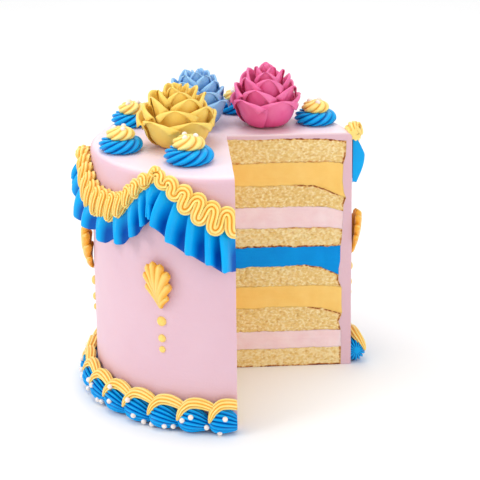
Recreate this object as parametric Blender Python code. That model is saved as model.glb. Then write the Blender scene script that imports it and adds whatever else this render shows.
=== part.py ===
"""Tall layered celebration cake with one quarter cut out, in metres, +Z up.

The origin is the centre of the foot of the cake, on the surface that it stands on.
The missing quarter lies towards +X and -Y. Angles are measured from +X towards +Y.
"""
import math
import random

import bmesh
import bpy
from mathutils import Vector

MM = 0.001

# Body of the cake
CAKE_HEIGHT = 187 * MM
FOOT_RADIUS = 98 * MM
SHOULDER_RADIUS = 96.5 * MM
RIM_ROUNDING = 7 * MM
COAT_INSIDE_RADIUS = 90 * MM
ROUND_STEPS = 28
RIM_STEPS = 4
GAP = 0.3 * MM
PATH_SAMPLES = 200

# The missing quarter: its two faces stand a little off the centre
CUT_X = 3 * MM
CUT_Y = 7 * MM
CUT_BLOCK = 260 * MM
RIGHT_END = math.radians(4.3)
FRONT_END = math.radians(271.4)

# Faces between sponge and filling, from the foot up: (radius, height) pairs
# outwards from the centre, with the domed edges of the sponges near the wall
LAYER_FACES = [
    [(0, 0), (90, 0)],
    [(0, 14.8), (90, 14.8)],
    [(0, 29.5), (90, 29.5)],
    [(0, 49.5), (66, 49.3), (80, 46.5), (90, 41.8)],
    [(0, 67.0), (80, 66.6), (90, 64.6)],
    [(0, 82.5), (64, 83.4), (80, 81.0), (90, 73.5)],
    [(0, 98.3), (90, 98.0)],
    [(0, 114.0), (75, 113.6), (90, 111.4)],
    [(0, 130.5), (76, 130.3), (90, 125.2)],
    [(0, 147.5), (68, 147.3), (80, 142.4), (90, 134.2)],
    [(0, 165.0), (80, 164.6), (90, 162.6)],
    [(0, 183.6), (74, 183.0), (90, 180.6)],
]
LAYER_NAMES = [
    "sponge_layer_1", "filling_1_pink", "sponge_layer_2", "filling_2_yellow",
    "sponge_layer_3", "filling_3_blue", "sponge_layer_4", "filling_4_pink",
    "sponge_layer_5", "filling_5_yellow", "sponge_layer_6",
]

# Swags: angles of the peaks, and the angle of each swag's lowest point
PEAK_ANGLES = [8, 65, 122, 180, 240]
LOW_ANGLES = [36.5, 93.5, 151, 210, 272]
SIDE_BEND = [1.45, 1.45, 1.45, 1.45, 1.1]
GARLAND_PEAK = 185.5 * MM
GARLAND_LOW = 157.5 * MM
GARLAND_WAVE = 8.6 * MM
GARLAND_HALF_HEIGHT = 6.5 * MM
GARLAND_SWING = 4 * MM
GARLAND_DEPTH = 9.5 * MM
GARLAND_CREST = 5.5 * MM
PEAK_NARROWING = 0.3
BACKING_HALF = 5 * MM

# How far a sheet stands off the wall, in gaps, and how much more it does at the rim
SHEET_LIFT = 1.2
RIM_EXTRA_LIFT = 2.1

RUFFLE_PEAK = 158.5 * MM
RUFFLE_LOWS = [131, 131, 131, 131, 126]
RUFFLE_BEND = 3
RUFFLE_PLEAT = 12.5 * MM
RUFFLE_THICKNESS = 1.8 * MM
RUFFLE_TIP = 2.5 * MM
RUFFLE_TUCK = 11.5 * MM
RUFFLE_TUCK_OUT = 2.6 * MM
RUFFLE_TUCK_HOLLOW = 0.4
RUFFLE_HOLLOW_OUT = 5.5 * MM
RUFFLE_FOLD_OUT = 14 * MM

# Piped border round the foot
SHELL_COUNT = 22
SHELL_PITCH = math.radians(12.2)
SHELL_FIRST_JOINT = math.radians(261.2)
SHELL_REACH = 13 * MM
SHELL_HEIGHT = 19.5 * MM
SHELL_PHASES = [(0.0, 0.54), (0.25, 0.90), (0.52, 1.0), (0.80, 0.86)]

# Section of a shell as shares of its reach and height, from its foot to its top
SHELL_FRONT = [(0.58, 0), (1, 0.36), (0.92, 0.76), (0.62, 1)]
SHELL_BACK_HEIGHT = 0.95
SCALLOP_LIP = 10 * MM
SCALLOP_SHOULDER = (0.75, 0.7)
SCALLOP_VALLEY = 18.5 * MM
SCALLOP_ARCH = 7 * MM

# Sugar pearls, half sunk in the shells at scattered places
PEARL_RADIUS = 2.0 * MM
PEARLS_PER_SHELL = 2
PEARL_SEED = 7
PEARL_FIRST_PHASE = 0.30
PEARL_PHASE_STEP = 0.36
PEARL_PHASE_SCATTER = 0.07
PEARL_HEIGHTS = (0.28 * SHELL_HEIGHT, 0.58 * SHELL_HEIGHT)
PEARL_OUT = 0.93 * SHELL_REACH
PEARL_END_CLEARANCE = 0.03

# Piped fans on the wall and the dots below each
FAN_FOOT = 91 * MM
FAN_RIBS = 5
FAN_SECTIONS = [(0, 2.4, 2.0), (8, 13, 5.5), (17, 24, 9.0), (28, 24.5, 9.0), (36, 17, 4.5)]
FAN_GROOVE = 0.62
FAN_ARCH = 0.10
FAN_CROWN = 0.8
DOTS = [(81, 7.3), (68, 6.0), (59.6, 5.0)]

# Rosettes on top: centre in millimetres and relative size
ROSETTE_PLACES = [
    (-26.5, -55.5, 1.0), (-74, -23, 0.9), (-66, 46, 0.9),
    (-24, 76, 0.9), (15, 76, 0.9), (72, 37, 0.9),
]
ROSETTE_POINTS = 6
ROSETTE_BASE_RINGS = [(15.0, 0.0), (17.8, 3.5), (16.5, 7.5), (12.5, 10.3)]
ROSETTE_TOP_RINGS = [(10.5, 0.0), (12.0, 3.0), (9.0, 6.5), (4.0, 9.0)]
ROSETTE_GROOVE = 0.84
ROSETTE_TWIST = math.radians(20)
ROSETTE_TURN = 1.0
ROSETTE_TOP_TURN = 0.5
ROSETTE_PEARLS = 3
ROSETTE_PEARL_RING = 5.0 * MM
ROSETTE_PEARL_RISE = 8.4 * MM

# Sugar roses: name, centre, radius and height in millimetres, turn in degrees
ROSES = [
    ("sugar_rose_yellow", (-33, -13), 29.5, 46, 10),
    ("sugar_rose_blue", (-18, 40), 25, 43, 40),
    ("sugar_rose_pink", (34, 34.5), 27, 47, 75),
]
ROSE_PETALS = 5
ROSE_COLUMNS = 15
ROSE_RINGS = [
    (0.52, 0.00, 0.00, 0), (0.76, 0.10, 0.03, 0), (0.88, 0.27, 0.07, 0),
    (0.91, 0.43, 0.09, 0), (0.70, 0.36, 0.03, 1), (0.75, 0.67, 0.08, 1),
    (0.50, 0.56, 0.02, 2), (0.53, 0.86, 0.06, 2), (0.30, 0.78, 0.02, 3), (0.28, 0.98, 0.03, 3),
]
ROSE_ROW_TURN = math.radians(36)
ROSE_HEART = 0.92
ROSE_HEART_WIDTH = 0.15

COLOURS = {
    "pink_icing": ((0.90, 0.62, 0.68), 0.45),
    "sponge": ((0.80, 0.55, 0.22), 0.85),
    "pink_cream": ((0.88, 0.60, 0.63), 0.50),
    "yellow_cream": ((0.92, 0.55, 0.15), 0.50),
    "blue_cream": ((0.00, 0.26, 0.72), 0.45),
    "yellow_piping": ((0.95, 0.62, 0.14), 0.45),
    "blue_piping": ((0.00, 0.27, 0.80), 0.40),
    "yellow_sugar": ((0.93, 0.58, 0.12), 0.45),
    "blue_sugar": ((0.14, 0.42, 0.82), 0.45),
    "pink_sugar": ((0.85, 0.12, 0.38), 0.45),
}


def clear_scene():
    for item in list(bpy.data.objects):
        bpy.data.objects.remove(item, do_unlink=True)


def make_material(name):
    colour, roughness = COLOURS[name]
    material = bpy.data.materials.new(name)
    material.use_nodes = True
    shader = material.node_tree.nodes["Principled BSDF"]
    shader.inputs["Base Color"].default_value = (*colour, 1.0)
    shader.inputs["Roughness"].default_value = roughness
    shader.inputs["Metallic"].default_value = 0.0
    return material


def add_object(name, shape, material, smooth_angle=35):
    mesh = bpy.data.meshes.new(name)
    shape.to_mesh(mesh)
    shape.free()
    mesh.materials.append(material)
    mesh.shade_smooth()
    mesh.set_sharp_from_angle(angle=math.radians(smooth_angle))
    item = bpy.data.objects.new(name, mesh)
    bpy.context.scene.collection.objects.link(item)
    return item


def spun_shape(profile):
    """A closed body of revolution from a profile that starts and ends on the axis."""
    shape = bmesh.new()
    points = [shape.verts.new((radius, 0, height)) for radius, height in profile]
    edges = [shape.edges.new(pair) for pair in zip(points, points[1:])]
    bmesh.ops.spin(
        shape, geom=points + edges, cent=(0, 0, 0), axis=(0, 0, 1),
        angle=math.tau, steps=ROUND_STEPS, use_merge=True,
    )
    bmesh.ops.remove_doubles(shape, verts=shape.verts, dist=GAP / 10)
    bmesh.ops.recalc_face_normals(shape, faces=shape.faces)
    return shape


def lofted_shape(loops, turned_edges=()):
    """A closed body through loops of equal length, flat at both ends.

    Each quad is split along one diagonal, and along the other on the turned edges,
    so that two sheets that lie on each other are split alike.
    """
    shape = bmesh.new()
    rings = [[shape.verts.new(point) for point in loop] for loop in loops]
    count = len(loops[0])
    for near, far in zip(rings, rings[1:]):
        for i in range(count):
            k = (i + 1) % count
            if i in turned_edges:
                shape.faces.new((near[i], near[k], far[i]))
                shape.faces.new((near[k], far[k], far[i]))
            else:
                shape.faces.new((near[i], near[k], far[k]))
                shape.faces.new((near[i], far[k], far[i]))
    ends = [shape.faces.new(rings[0]), shape.faces.new(rings[-1])]
    bmesh.ops.triangulate(shape, faces=ends)
    bmesh.ops.recalc_face_normals(shape, faces=shape.faces)
    return shape


def apply_modifiers(item):
    """Bake an object's modifiers into its own mesh."""
    graph = bpy.context.evaluated_depsgraph_get()
    baked = bpy.data.meshes.new_from_object(item.evaluated_get(graph))
    item.modifiers.clear()
    item.data = baked


def fuse(item, extras):
    """Join small toppings to the piece that they lie on, as one closed body."""
    group = bpy.data.collections.new(item.name + "_toppings")
    bpy.context.scene.collection.children.link(group)
    for extra in extras:
        bpy.context.scene.collection.objects.unlink(extra)
        group.objects.link(extra)
    union = item.modifiers.new("toppings", "BOOLEAN")
    union.operation = "UNION"
    union.operand_type = "COLLECTION"
    union.collection = group
    union.solver = "EXACT"
    apply_modifiers(item)
    for extra in extras:
        bpy.data.objects.remove(extra, do_unlink=True)
    bpy.data.collections.remove(group)


def cut_quarter(item, knife):
    cut = item.modifiers.new("missing_quarter", "BOOLEAN")
    cut.operation = "DIFFERENCE"
    cut.solver = "EXACT"
    cut.object = knife


def make_knife():
    shape = bmesh.new()
    bmesh.ops.create_cube(shape, size=CUT_BLOCK)
    half = CUT_BLOCK / 2
    bmesh.ops.translate(shape, verts=shape.verts, vec=(CUT_X + half, CUT_Y - half, CAKE_HEIGHT / 2))
    mesh = bpy.data.meshes.new("quarter_knife")
    shape.to_mesh(mesh)
    shape.free()
    knife = bpy.data.objects.new("quarter_knife", mesh)
    bpy.context.scene.collection.objects.link(knife)
    knife.hide_render = True
    knife.display_type = "WIRE"
    return knife


def wall_radius(height):
    share = min(height / (CAKE_HEIGHT - RIM_ROUNDING), 1)
    return FOOT_RADIUS + (SHOULDER_RADIUS - FOOT_RADIUS) * share


def on_wall(angle, along, out):
    """A point at a distance along the wall from its foot, up and over the rim."""
    straight = CAKE_HEIGHT - RIM_ROUNDING
    if along <= straight:
        radius, height, lean = wall_radius(along), along, 0.0
    else:
        lean = min((along - straight) / RIM_ROUNDING, math.pi / 2)
        past = max(along - straight - RIM_ROUNDING * math.pi / 2, 0)
        radius = SHOULDER_RADIUS - RIM_ROUNDING + RIM_ROUNDING * math.cos(lean) - past
        height = straight + RIM_ROUNDING * math.sin(lean)
    radius += out * math.cos(lean)
    height += out * math.sin(lean)
    return Vector((radius * math.cos(angle), radius * math.sin(angle), height))


def rim_lift(along):
    """Sheets stand a little further off where the wall rounds over the rim."""
    start = CAKE_HEIGHT - 2 * RIM_ROUNDING
    share = min(max((along - start) / RIM_ROUNDING, 0), 1)
    return GAP * (SHEET_LIFT + RIM_EXTRA_LIFT * share)


def layer_profile(number):
    """Profile of one layer; the lowest layer stands on the foot's plane itself."""
    outside = COAT_INSIDE_RADIUS - GAP
    lift = GAP / 2 if number else 0
    bottom = [(min(r * MM, outside), z * MM + lift) for r, z in LAYER_FACES[number]]
    top = [(min(r * MM, outside), z * MM - GAP / 2) for r, z in reversed(LAYER_FACES[number + 1])]
    return bottom + top


def make_layers(knife, materials):
    for number, name in enumerate(LAYER_NAMES):
        finish = "sponge" if name.startswith("sponge") else name.split("_")[-1] + "_cream"
        layer = add_object(name, spun_shape(layer_profile(number)), materials[finish])
        cut_quarter(layer, knife)


def make_coat(knife, materials):
    """Pink icing over the top and down the wall, with the piped dots fused on."""
    under = [(min(r * MM, COAT_INSIDE_RADIUS), z * MM + GAP / 2) for r, z in LAYER_FACES[-1]]
    centre = (SHOULDER_RADIUS - RIM_ROUNDING, CAKE_HEIGHT - RIM_ROUNDING)
    rim = []
    for i in range(RIM_STEPS + 1):
        lean = math.pi / 2 * i / RIM_STEPS
        rim.append((centre[0] + RIM_ROUNDING * math.cos(lean),
                    centre[1] + RIM_ROUNDING * math.sin(lean)))
    profile = under + [(COAT_INSIDE_RADIUS, 0), (FOOT_RADIUS, 0)] + rim + [(0, CAKE_HEIGHT)]
    coat = add_object("icing_coat", spun_shape(profile), materials["pink_icing"])
    dots = []
    for peak in PEAK_ANGLES:
        for height, width in DOTS:
            dot = bmesh.new()
            bmesh.ops.create_icosphere(dot, subdivisions=1, radius=width / 2 * MM)
            place = on_wall(math.radians(peak), height * MM, 0)
            bmesh.ops.translate(dot, verts=dot.verts, vec=place)
            dots.append(add_object("dot", dot, materials["yellow_piping"]))
    fuse(coat, dots)
    cut_quarter(coat, knife)


def swag_share(index, angle):
    """How far an angle is from a swag's lowest point, as a share of the way to its peak."""
    low = math.radians(LOW_ANGLES[index])
    reach = low - math.radians(PEAK_ANGLES[index])
    return min(abs(angle - low) / reach, 1)


def swag_rise(index, angle):
    return (1 - math.cos(math.pi * swag_share(index, angle) ** SIDE_BEND[index])) / 2


def swag_height(index, angle):
    """Distance along the wall of the middle of a swag's garland at an angle."""
    return GARLAND_LOW + (GARLAND_PEAK - GARLAND_LOW) * swag_rise(index, angle)


def ruffle_edge(index, angle):
    low = RUFFLE_LOWS[index] * MM
    return low + (RUFFLE_PEAK - low) * swag_share(index, angle) ** RUFFLE_BEND


def swag_ends(index):
    clear = GAP / FOOT_RADIUS
    start = math.radians(PEAK_ANGLES[index]) + clear
    if index == 0:
        start = RIGHT_END
    if index + 1 < len(PEAK_ANGLES):
        return start, math.radians(PEAK_ANGLES[index + 1]) - clear
    return start, FRONT_END


def even_angles(index, pitch):
    """Angles that share a swag's length into equal steps, an even number of them."""
    start, end = swag_ends(index)
    angles = [start + (end - start) * i / PATH_SAMPLES for i in range(PATH_SAMPLES + 1)]
    travelled = [0.0]
    for a, b in zip(angles, angles[1:]):
        rise = swag_height(index, b) - swag_height(index, a)
        travelled.append(travelled[-1] + math.hypot((b - a) * FOOT_RADIUS, rise))
    steps = 2 * round(travelled[-1] / pitch)
    result, k = [], 0
    for i in range(steps + 1):
        goal = travelled[-1] * i / steps
        while k < PATH_SAMPLES - 1 and travelled[k + 1] < goal:
            k += 1
        share = (goal - travelled[k]) / (travelled[k + 1] - travelled[k])
        result.append(angles[k] + (angles[k + 1] - angles[k]) * share)
    return result


def make_garland(index, material):
    """Yellow zigzag piping along the top of a swag, over the ruffle's upper edge."""
    loops = []
    for i, angle in enumerate(even_angles(index, GARLAND_WAVE)):
        middle = swag_height(index, angle)
        size = 1 - PEAK_NARROWING * swag_rise(index, angle)
        swing = GARLAND_SWING * size * (1 if i % 2 else -1)
        half = GARLAND_HALF_HEIGHT * size
        rest = BACKING_HALF * size
        back = RUFFLE_THICKNESS + 2 * rim_lift(middle)
        section = [
            (back, rest), (back, 0), (back, -rest),
            (GARLAND_CREST, swing - half), (GARLAND_DEPTH, swing - half / 2),
            (GARLAND_DEPTH, swing + half / 2), (GARLAND_CREST, swing + half),
        ]
        loops.append([on_wall(angle, middle + along, out) for out, along in section])
    add_object("garland_swag_%d" % (index + 1), lofted_shape(loops), material)


def make_ruffle(index, material):
    """Blue pleated frill that hangs from under the garland and flares out."""
    loops = []
    for i, angle in enumerate(even_angles(index, RUFFLE_PLEAT)):
        middle = swag_height(index, angle)
        size = 1 - PEAK_NARROWING * swag_rise(index, angle)
        fold = i % 2
        near = rim_lift(middle)
        rest = BACKING_HALF * size
        tuck = near + RUFFLE_TUCK_OUT * (1 if fold else RUFFLE_TUCK_HOLLOW)
        flare = RUFFLE_FOLD_OUT if fold else RUFFLE_HOLLOW_OUT
        edge = ruffle_edge(index, angle) - RUFFLE_TIP * fold
        back = [(near, middle + rest), (near, middle), (near, middle - rest),
                (tuck, middle - RUFFLE_TUCK * size), (flare, edge)]
        front = [(out + RUFFLE_THICKNESS, along) for out, along in reversed(back)]
        loops.append([on_wall(angle, along, out) for out, along in back + front])
    rows = len(loops[0]) // 2
    turned = range(rows, 2 * rows)
    add_object("ruffle_swag_%d" % (index + 1), lofted_shape(loops, turned), material)


def shell_stations():
    """Angle and fullness of every section round the foot, from cut to cut."""
    stations = []
    for shell in range(SHELL_COUNT):
        joint = SHELL_FIRST_JOINT + SHELL_PITCH * (1 - shell)
        for phase, size in SHELL_PHASES:
            angle = joint - SHELL_PITCH * phase
            if RIGHT_END < angle < FRONT_END:
                stations.append((angle, size))
    stations.append((RIGHT_END, SHELL_PHASES[0][1]))
    return [(FRONT_END, SHELL_PHASES[1][1])] + stations


def shell_section(size):
    reach, height = SHELL_REACH * size, SHELL_HEIGHT * size
    front = [(out * reach, rise * height) for out, rise in SHELL_FRONT]
    return [(GAP, 0)] + front + [(GAP, SHELL_BACK_HEIGHT * height)]


def scallop_section(size):
    """The yellow arch over a shell: its tails dip between the shells."""
    seat, inner = shell_section(size)[-2:]
    top = SCALLOP_VALLEY + SCALLOP_ARCH * size
    low = seat[1] + GAP
    out, rise = SCALLOP_SHOULDER
    return [
        (GAP, inner[1] + GAP), (seat[0], low), (SCALLOP_LIP, low + GAP),
        (out * SCALLOP_LIP, low + rise * (top - low)), (GAP, top),
    ]


def border_loops(section):
    loops = []
    for angle, size in shell_stations():
        loops.append([on_wall(angle, height, 0) + Vector((math.cos(angle), math.sin(angle), 0)) * out
                      for out, height in section(size)])
    return loops


def make_border(materials):
    """Blue shells round the foot with pearls fused on, and yellow scallops above."""
    shells = add_object("base_shells", lofted_shape(border_loops(shell_section)),
                        materials["blue_piping"])
    add_object("base_scallops", lofted_shape(border_loops(scallop_section), turned_edges=(0,)),
               materials["yellow_piping"])
    draw = random.Random(PEARL_SEED)
    pearls = []
    for shell in range(SHELL_COUNT):
        for k in range(PEARLS_PER_SHELL):
            phase = PEARL_FIRST_PHASE + PEARL_PHASE_STEP * k
            phase += draw.uniform(-PEARL_PHASE_SCATTER, PEARL_PHASE_SCATTER)
            angle = SHELL_FIRST_JOINT + SHELL_PITCH * (1 - shell - phase)
            if not RIGHT_END + PEARL_END_CLEARANCE < angle < FRONT_END - PEARL_END_CLEARANCE:
                continue
            place = on_wall(angle, draw.uniform(*PEARL_HEIGHTS), PEARL_OUT)
            pearl = bmesh.new()
            bmesh.ops.create_icosphere(pearl, subdivisions=1, radius=PEARL_RADIUS)
            bmesh.ops.translate(pearl, verts=pearl.verts, vec=place)
            pearls.append(add_object("pearl", pearl, materials["pink_icing"]))
    fuse(shells, pearls)


def make_fan(index, material):
    """A piped fan: ribs that spread upwards from a point on the wall."""
    middle = math.radians(PEAK_ANGLES[index])
    loops = []
    columns = 2 * FAN_RIBS - 1
    for rise, width, depth in FAN_SECTIONS:
        height = FAN_FOOT + rise * MM
        half = width / 2 * MM / wall_radius(height)
        loop = []
        for i in range(columns):
            share = 2 * i / (columns - 1) - 1
            crown = math.sqrt(1 - FAN_CROWN * share ** 2)
            groove = FAN_GROOVE if i % 2 else 1.0
            out = GAP + depth * MM * crown * groove
            arch = FAN_ARCH * rise * MM * (share ** 2 + (1 - groove))
            loop.append(on_wall(middle + half * share, height - arch, out))
        for share in (1, 0, -1):
            arch = FAN_ARCH * rise * MM * share ** 2
            loop.append(on_wall(middle + half * share, height - arch, GAP))
        loops.append(loop)
    add_object("fan_%d" % (index + 1), lofted_shape(loops), material)


def star_loops(place, bottom, rings, turn):
    """Rings of a piped swirl: a star outline that twists as it rises."""
    loops = []
    x, y, scale = place
    for k, (radius, rise) in enumerate(rings):
        loop = []
        for i in range(2 * ROSETTE_POINTS):
            angle = turn + math.pi * i / ROSETTE_POINTS + ROSETTE_TWIST * k
            size = radius * scale * MM * (ROSETTE_GROOVE if i % 2 else 1.0)
            loop.append(Vector((x * MM + size * math.cos(angle),
                                y * MM + size * math.sin(angle),
                                bottom + rise * scale * MM)))
        loops.append(loop)
    return loops


def make_rosette(index, materials):
    """A blue swirl with a smaller yellow swirl on it and pearls fused on top."""
    place = ROSETTE_PLACES[index]
    x, y, scale = place
    turn = ROSETTE_TURN * index
    seat = CAKE_HEIGHT + GAP
    add_object("rosette_base_%d" % (index + 1),
               lofted_shape(star_loops(place, seat, ROSETTE_BASE_RINGS, turn)),
               materials["blue_piping"])
    seat += ROSETTE_BASE_RINGS[-1][1] * scale * MM + GAP
    top = add_object("rosette_top_%d" % (index + 1),
                     lofted_shape(star_loops(place, seat, ROSETTE_TOP_RINGS,
                                             turn + ROSETTE_TOP_TURN)),
                     materials["yellow_piping"])
    pearls = []
    for k in range(ROSETTE_PEARLS):
        angle = turn + math.tau * k / ROSETTE_PEARLS
        pearl = bmesh.new()
        bmesh.ops.create_icosphere(pearl, subdivisions=1, radius=PEARL_RADIUS)
        spot = (x * MM + ROSETTE_PEARL_RING * scale * math.cos(angle),
                y * MM + ROSETTE_PEARL_RING * scale * math.sin(angle),
                seat + ROSETTE_PEARL_RISE * scale)
        bmesh.ops.translate(pearl, verts=pearl.verts, vec=spot)
        pearls.append(add_object("pearl", pearl, materials["pink_icing"]))
    fuse(top, pearls)


def make_rose(name, centre, radius, height, turn, material):
    """A moulded sugar rose: rows of petals round a bud, each row turned from the last."""
    loops = []
    for reach, rise, lobe, row in ROSE_RINGS:
        loop = []
        for i in range(ROSE_COLUMNS):
            angle = math.tau * i / ROSE_COLUMNS
            petal = math.cos(ROSE_PETALS * (angle + ROSE_ROW_TURN * row))
            size = radius * MM * (reach + lobe * petal)
            spot = angle + math.radians(turn)
            loop.append(Vector((centre[0] * MM + size * math.cos(spot),
                                centre[1] * MM + size * math.sin(spot),
                                CAKE_HEIGHT + GAP + rise * height * MM)))
        loops.append(loop)
    heart = Vector((centre[0] * MM, centre[1] * MM, CAKE_HEIGHT + GAP + ROSE_HEART * height * MM))
    loops.append([heart + (point - heart) * ROSE_HEART_WIDTH for point in loops[-1]])
    add_object(name, lofted_shape(loops), material)


clear_scene()
finishes = {name: make_material(name) for name in COLOURS}
quarter_knife = make_knife()
make_layers(quarter_knife, finishes)
make_coat(quarter_knife, finishes)
make_border(finishes)
for swag in range(len(PEAK_ANGLES)):
    make_garland(swag, finishes["yellow_piping"])
    make_ruffle(swag, finishes["blue_piping"])
    make_fan(swag, finishes["yellow_piping"])
for place in range(len(ROSETTE_PLACES)):
    make_rosette(place, finishes)
for rose_name, rose_centre, rose_radius, rose_height, rose_turn in ROSES:
    sugar = finishes[rose_name.split("_")[-1] + "_sugar"]
    make_rose(rose_name, rose_centre, rose_radius, rose_height, rose_turn, sugar)
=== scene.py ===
import math
import random

import bmesh
import bpy
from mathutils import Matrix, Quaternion, Vector, noise
from mathutils.bvhtree import BVHTree


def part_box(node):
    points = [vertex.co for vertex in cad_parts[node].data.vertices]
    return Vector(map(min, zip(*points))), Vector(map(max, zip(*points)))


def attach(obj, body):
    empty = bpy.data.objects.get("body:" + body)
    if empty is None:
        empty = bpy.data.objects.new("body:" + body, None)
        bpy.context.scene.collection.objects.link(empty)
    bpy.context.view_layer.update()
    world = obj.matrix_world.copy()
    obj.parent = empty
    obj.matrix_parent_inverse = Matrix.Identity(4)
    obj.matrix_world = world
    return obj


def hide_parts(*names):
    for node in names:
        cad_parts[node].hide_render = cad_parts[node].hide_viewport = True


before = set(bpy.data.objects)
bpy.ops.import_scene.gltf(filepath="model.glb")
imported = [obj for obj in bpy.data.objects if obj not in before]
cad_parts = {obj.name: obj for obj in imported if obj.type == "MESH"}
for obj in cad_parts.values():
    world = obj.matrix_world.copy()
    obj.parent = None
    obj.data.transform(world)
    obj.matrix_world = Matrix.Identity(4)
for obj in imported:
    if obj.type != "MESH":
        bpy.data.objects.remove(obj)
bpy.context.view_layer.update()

mm = 0.001

# The cake's own shape, in millimetres and in degrees from +X towards +Y
cake = {
    "height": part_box("icing_coat")[1][2] / mm,
    "footRadius": 98.0,
    "shoulderRadius": 96.5,
    "rimRounding": 4.5,
    "cutX": 3.0,          # the cut faces stand at this x and this y
    "cutY": 7.0,
    "behindCut": 0.3,
    "rightEnd": 4.3,      # the piping stops short of the cut faces here
    "frontEnd": 271.4,
}


# Helpers


def clamp(value, low=0, high=1):
    return min(max(value, low), high)


def outwards(angle):
    return Vector((math.cos(angle), math.sin(angle), 0))


def wallRadius(height):
    share = min(height / (cake["height"] - cake["rimRounding"]), 1)
    return cake["footRadius"] + (cake["shoulderRadius"] - cake["footRadius"]) * share


# A point up the wall and over its rounded rim, and how far the wall leans back there
def onWall(angle, along, out):
    rounding = cake["rimRounding"]
    straight = cake["height"] - rounding
    lean = clamp((along - straight) / rounding, 0, math.pi / 2)
    past = max(along - straight - rounding * math.pi / 2, 0)
    if along <= straight:
        radius, height = wallRadius(along), along
    else:
        radius = cake["shoulderRadius"] - rounding + rounding * math.cos(lean) - past
        height = straight + rounding * math.sin(lean)
    radius += out * math.cos(lean)
    height += out * math.sin(lean)
    return Vector((radius * math.cos(angle), radius * math.sin(angle), height))


# Smooth curve through rows of numbers, at a share of its length
def smoothRow(rows, share):
    place = clamp(share) * (len(rows) - 1)
    i = min(int(place), len(rows) - 2)
    t = place - i
    before, near, far, after = (rows[clamp(k, 0, len(rows) - 1)] for k in range(i - 1, i + 3))
    return [
        0.5 * (2 * b + (c - a) * t + (2 * a - 5 * b + 4 * c - d) * t ** 2
               + (3 * b - a - 3 * c + d) * t ** 3)
        for a, b, c, d in zip(before, near, far, after)
    ]


# A grid whose points are placed by row and column; wrapped ones close on themselves. What
# lies low between two ridges, or in a hollow, is marked, so that painted shade goes there.
def bentGrid(columns, rows, place, wrapped=True, depth=None):
    shape = bmesh.new()
    bmesh.ops.create_grid(shape, x_segments=columns, y_segments=rows, size=0.5)
    hollows = shape.verts.layers.float.new("hollow") if depth else None
    shape.verts.ensure_lookup_table()
    for index, vert in enumerate(shape.verts):
        row, column = divmod(index, columns + 1)
        column = column % columns if wrapped else column
        vert.co = place(column, row)
        if depth:
            vert[hollows] = depth(column, row)
    return shape


def closeUp(shape):
    bmesh.ops.remove_doubles(shape, verts=shape.verts, dist=0.0005)
    bmesh.ops.recalc_face_normals(shape, faces=shape.faces)
    return shape


# Section of a star nozzle's rope: round ridges with sharp grooves between them; the third number marks
# the grooves for painted shade
def starSection(ridges, depth, steps=4):
    section = []
    for i in range(ridges * steps):
        turn = math.tau * i / (ridges * steps)
        size = 1 - depth * (1 - abs(math.cos(ridges * turn / 2)))
        section.append((size * math.cos(turn), size * math.sin(turn), (1 - size) / depth))
    return section


# Stations of a rope from points of (centre, way out, radius); a tall one stands square to it
def ropeStations(points, tall=None):
    stations = []
    for k, (centre, out, radius) in enumerate(points):
        near, far = points[max(k - 1, 0)][0], points[min(k + 1, len(points) - 1)][0]
        side = out.cross(far - near).normalized()
        if tall:
            side, out = side * tall, (far - near).cross(side).normalized()
        stations.append((centre, side, out, radius))
    return stations


# A rope swept through stations of (centre, side, out, radius), closed at both ends
def sweptRope(stations, section):
    first, last = stations[0], stations[-1]
    rings = [(*first[:3], 0.0)] + stations + [(*last[:3], 0.0)]

    def place(column, row):
        centre, side, out, radius = rings[row]
        across, up, low = section[column]
        return centre + (side * across + out * up) * radius

    grid = bentGrid(len(section), len(rings) - 1, place, depth=lambda column, row: section[column][2])
    return closeUp(grid)


def meshOf(name, shape):
    mesh = bpy.data.meshes.new(name)
    shape.to_mesh(mesh)
    shape.free()
    return mesh


def joinInto(shape, part):
    mesh = meshOf("part", part)
    shape.from_mesh(mesh)
    bpy.data.meshes.remove(mesh)


def addObject(name, data):
    thing = bpy.data.objects.new(name, data)
    bpy.context.scene.collection.objects.link(thing)
    return thing


# Cuts a shape off at a plane, and closes the cut with flat faces where it is capped
def sliceOff(shape, point, normal, cap=True):
    everything = shape.verts[:] + shape.edges[:] + shape.faces[:]
    bmesh.ops.bisect_plane(shape, geom=everything, dist=0.0001, plane_co=point,
                           plane_no=normal, clear_outer=True)
    if cap:
        rims = [edge for edge in shape.edges if edge.is_boundary]
        ends = bmesh.ops.holes_fill(shape, edges=rims, sides=0)["faces"]
        # the flat cut ends get a little painted shade through the hollow mark
        hollows = shape.verts.layers.float["hollow"]
        for vert in {vert for face in ends for vert in face.verts}:
            vert[hollows] = 0.2


# What is piped up to a cut face ends just behind it
def sliceAtRight(shape, behind=0, cap=True):
    sliceOff(shape, (0, cake["cutY"] + cake["behindCut"] + behind, 0), (0, -1, 0), cap)


def sliceAtFront(shape, behind=0, cap=True):
    sliceOff(shape, (cake["cutX"] - cake["behindCut"] - behind, 0, 0), (1, 0, 0), cap)


# Turns a shape in millimetres into a piece of the scene
def addPiece(name, shape, material, replaced, sharp=None):
    bmesh.ops.scale(shape, vec=(mm, mm, mm), verts=shape.verts)
    mesh = meshOf(name, shape)
    mesh.materials.append(material)
    mesh.shade_smooth()
    if sharp:
        mesh.set_sharp_from_angle(angle=math.radians(sharp))
    piece = addObject(name, mesh)
    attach(piece, "root")
    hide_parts(*replaced)
    return piece


def addPiping(name, shape, colour, replaced, sharp=None):
    return addPiece(name, shape, finishes[colour + "Piping"], [replaced], sharp)


def thicken(piece, thickness, offset):
    wall = piece.modifiers.new("thickness", "SOLIDIFY")
    wall.thickness = thickness * mm
    wall.offset = offset


def applyModifiers(piece):
    graph = bpy.context.evaluated_depsgraph_get()
    baked = bpy.data.meshes.new_from_object(piece.evaluated_get(graph))
    piece.modifiers.clear()
    piece.data = baked


# Materials


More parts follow.
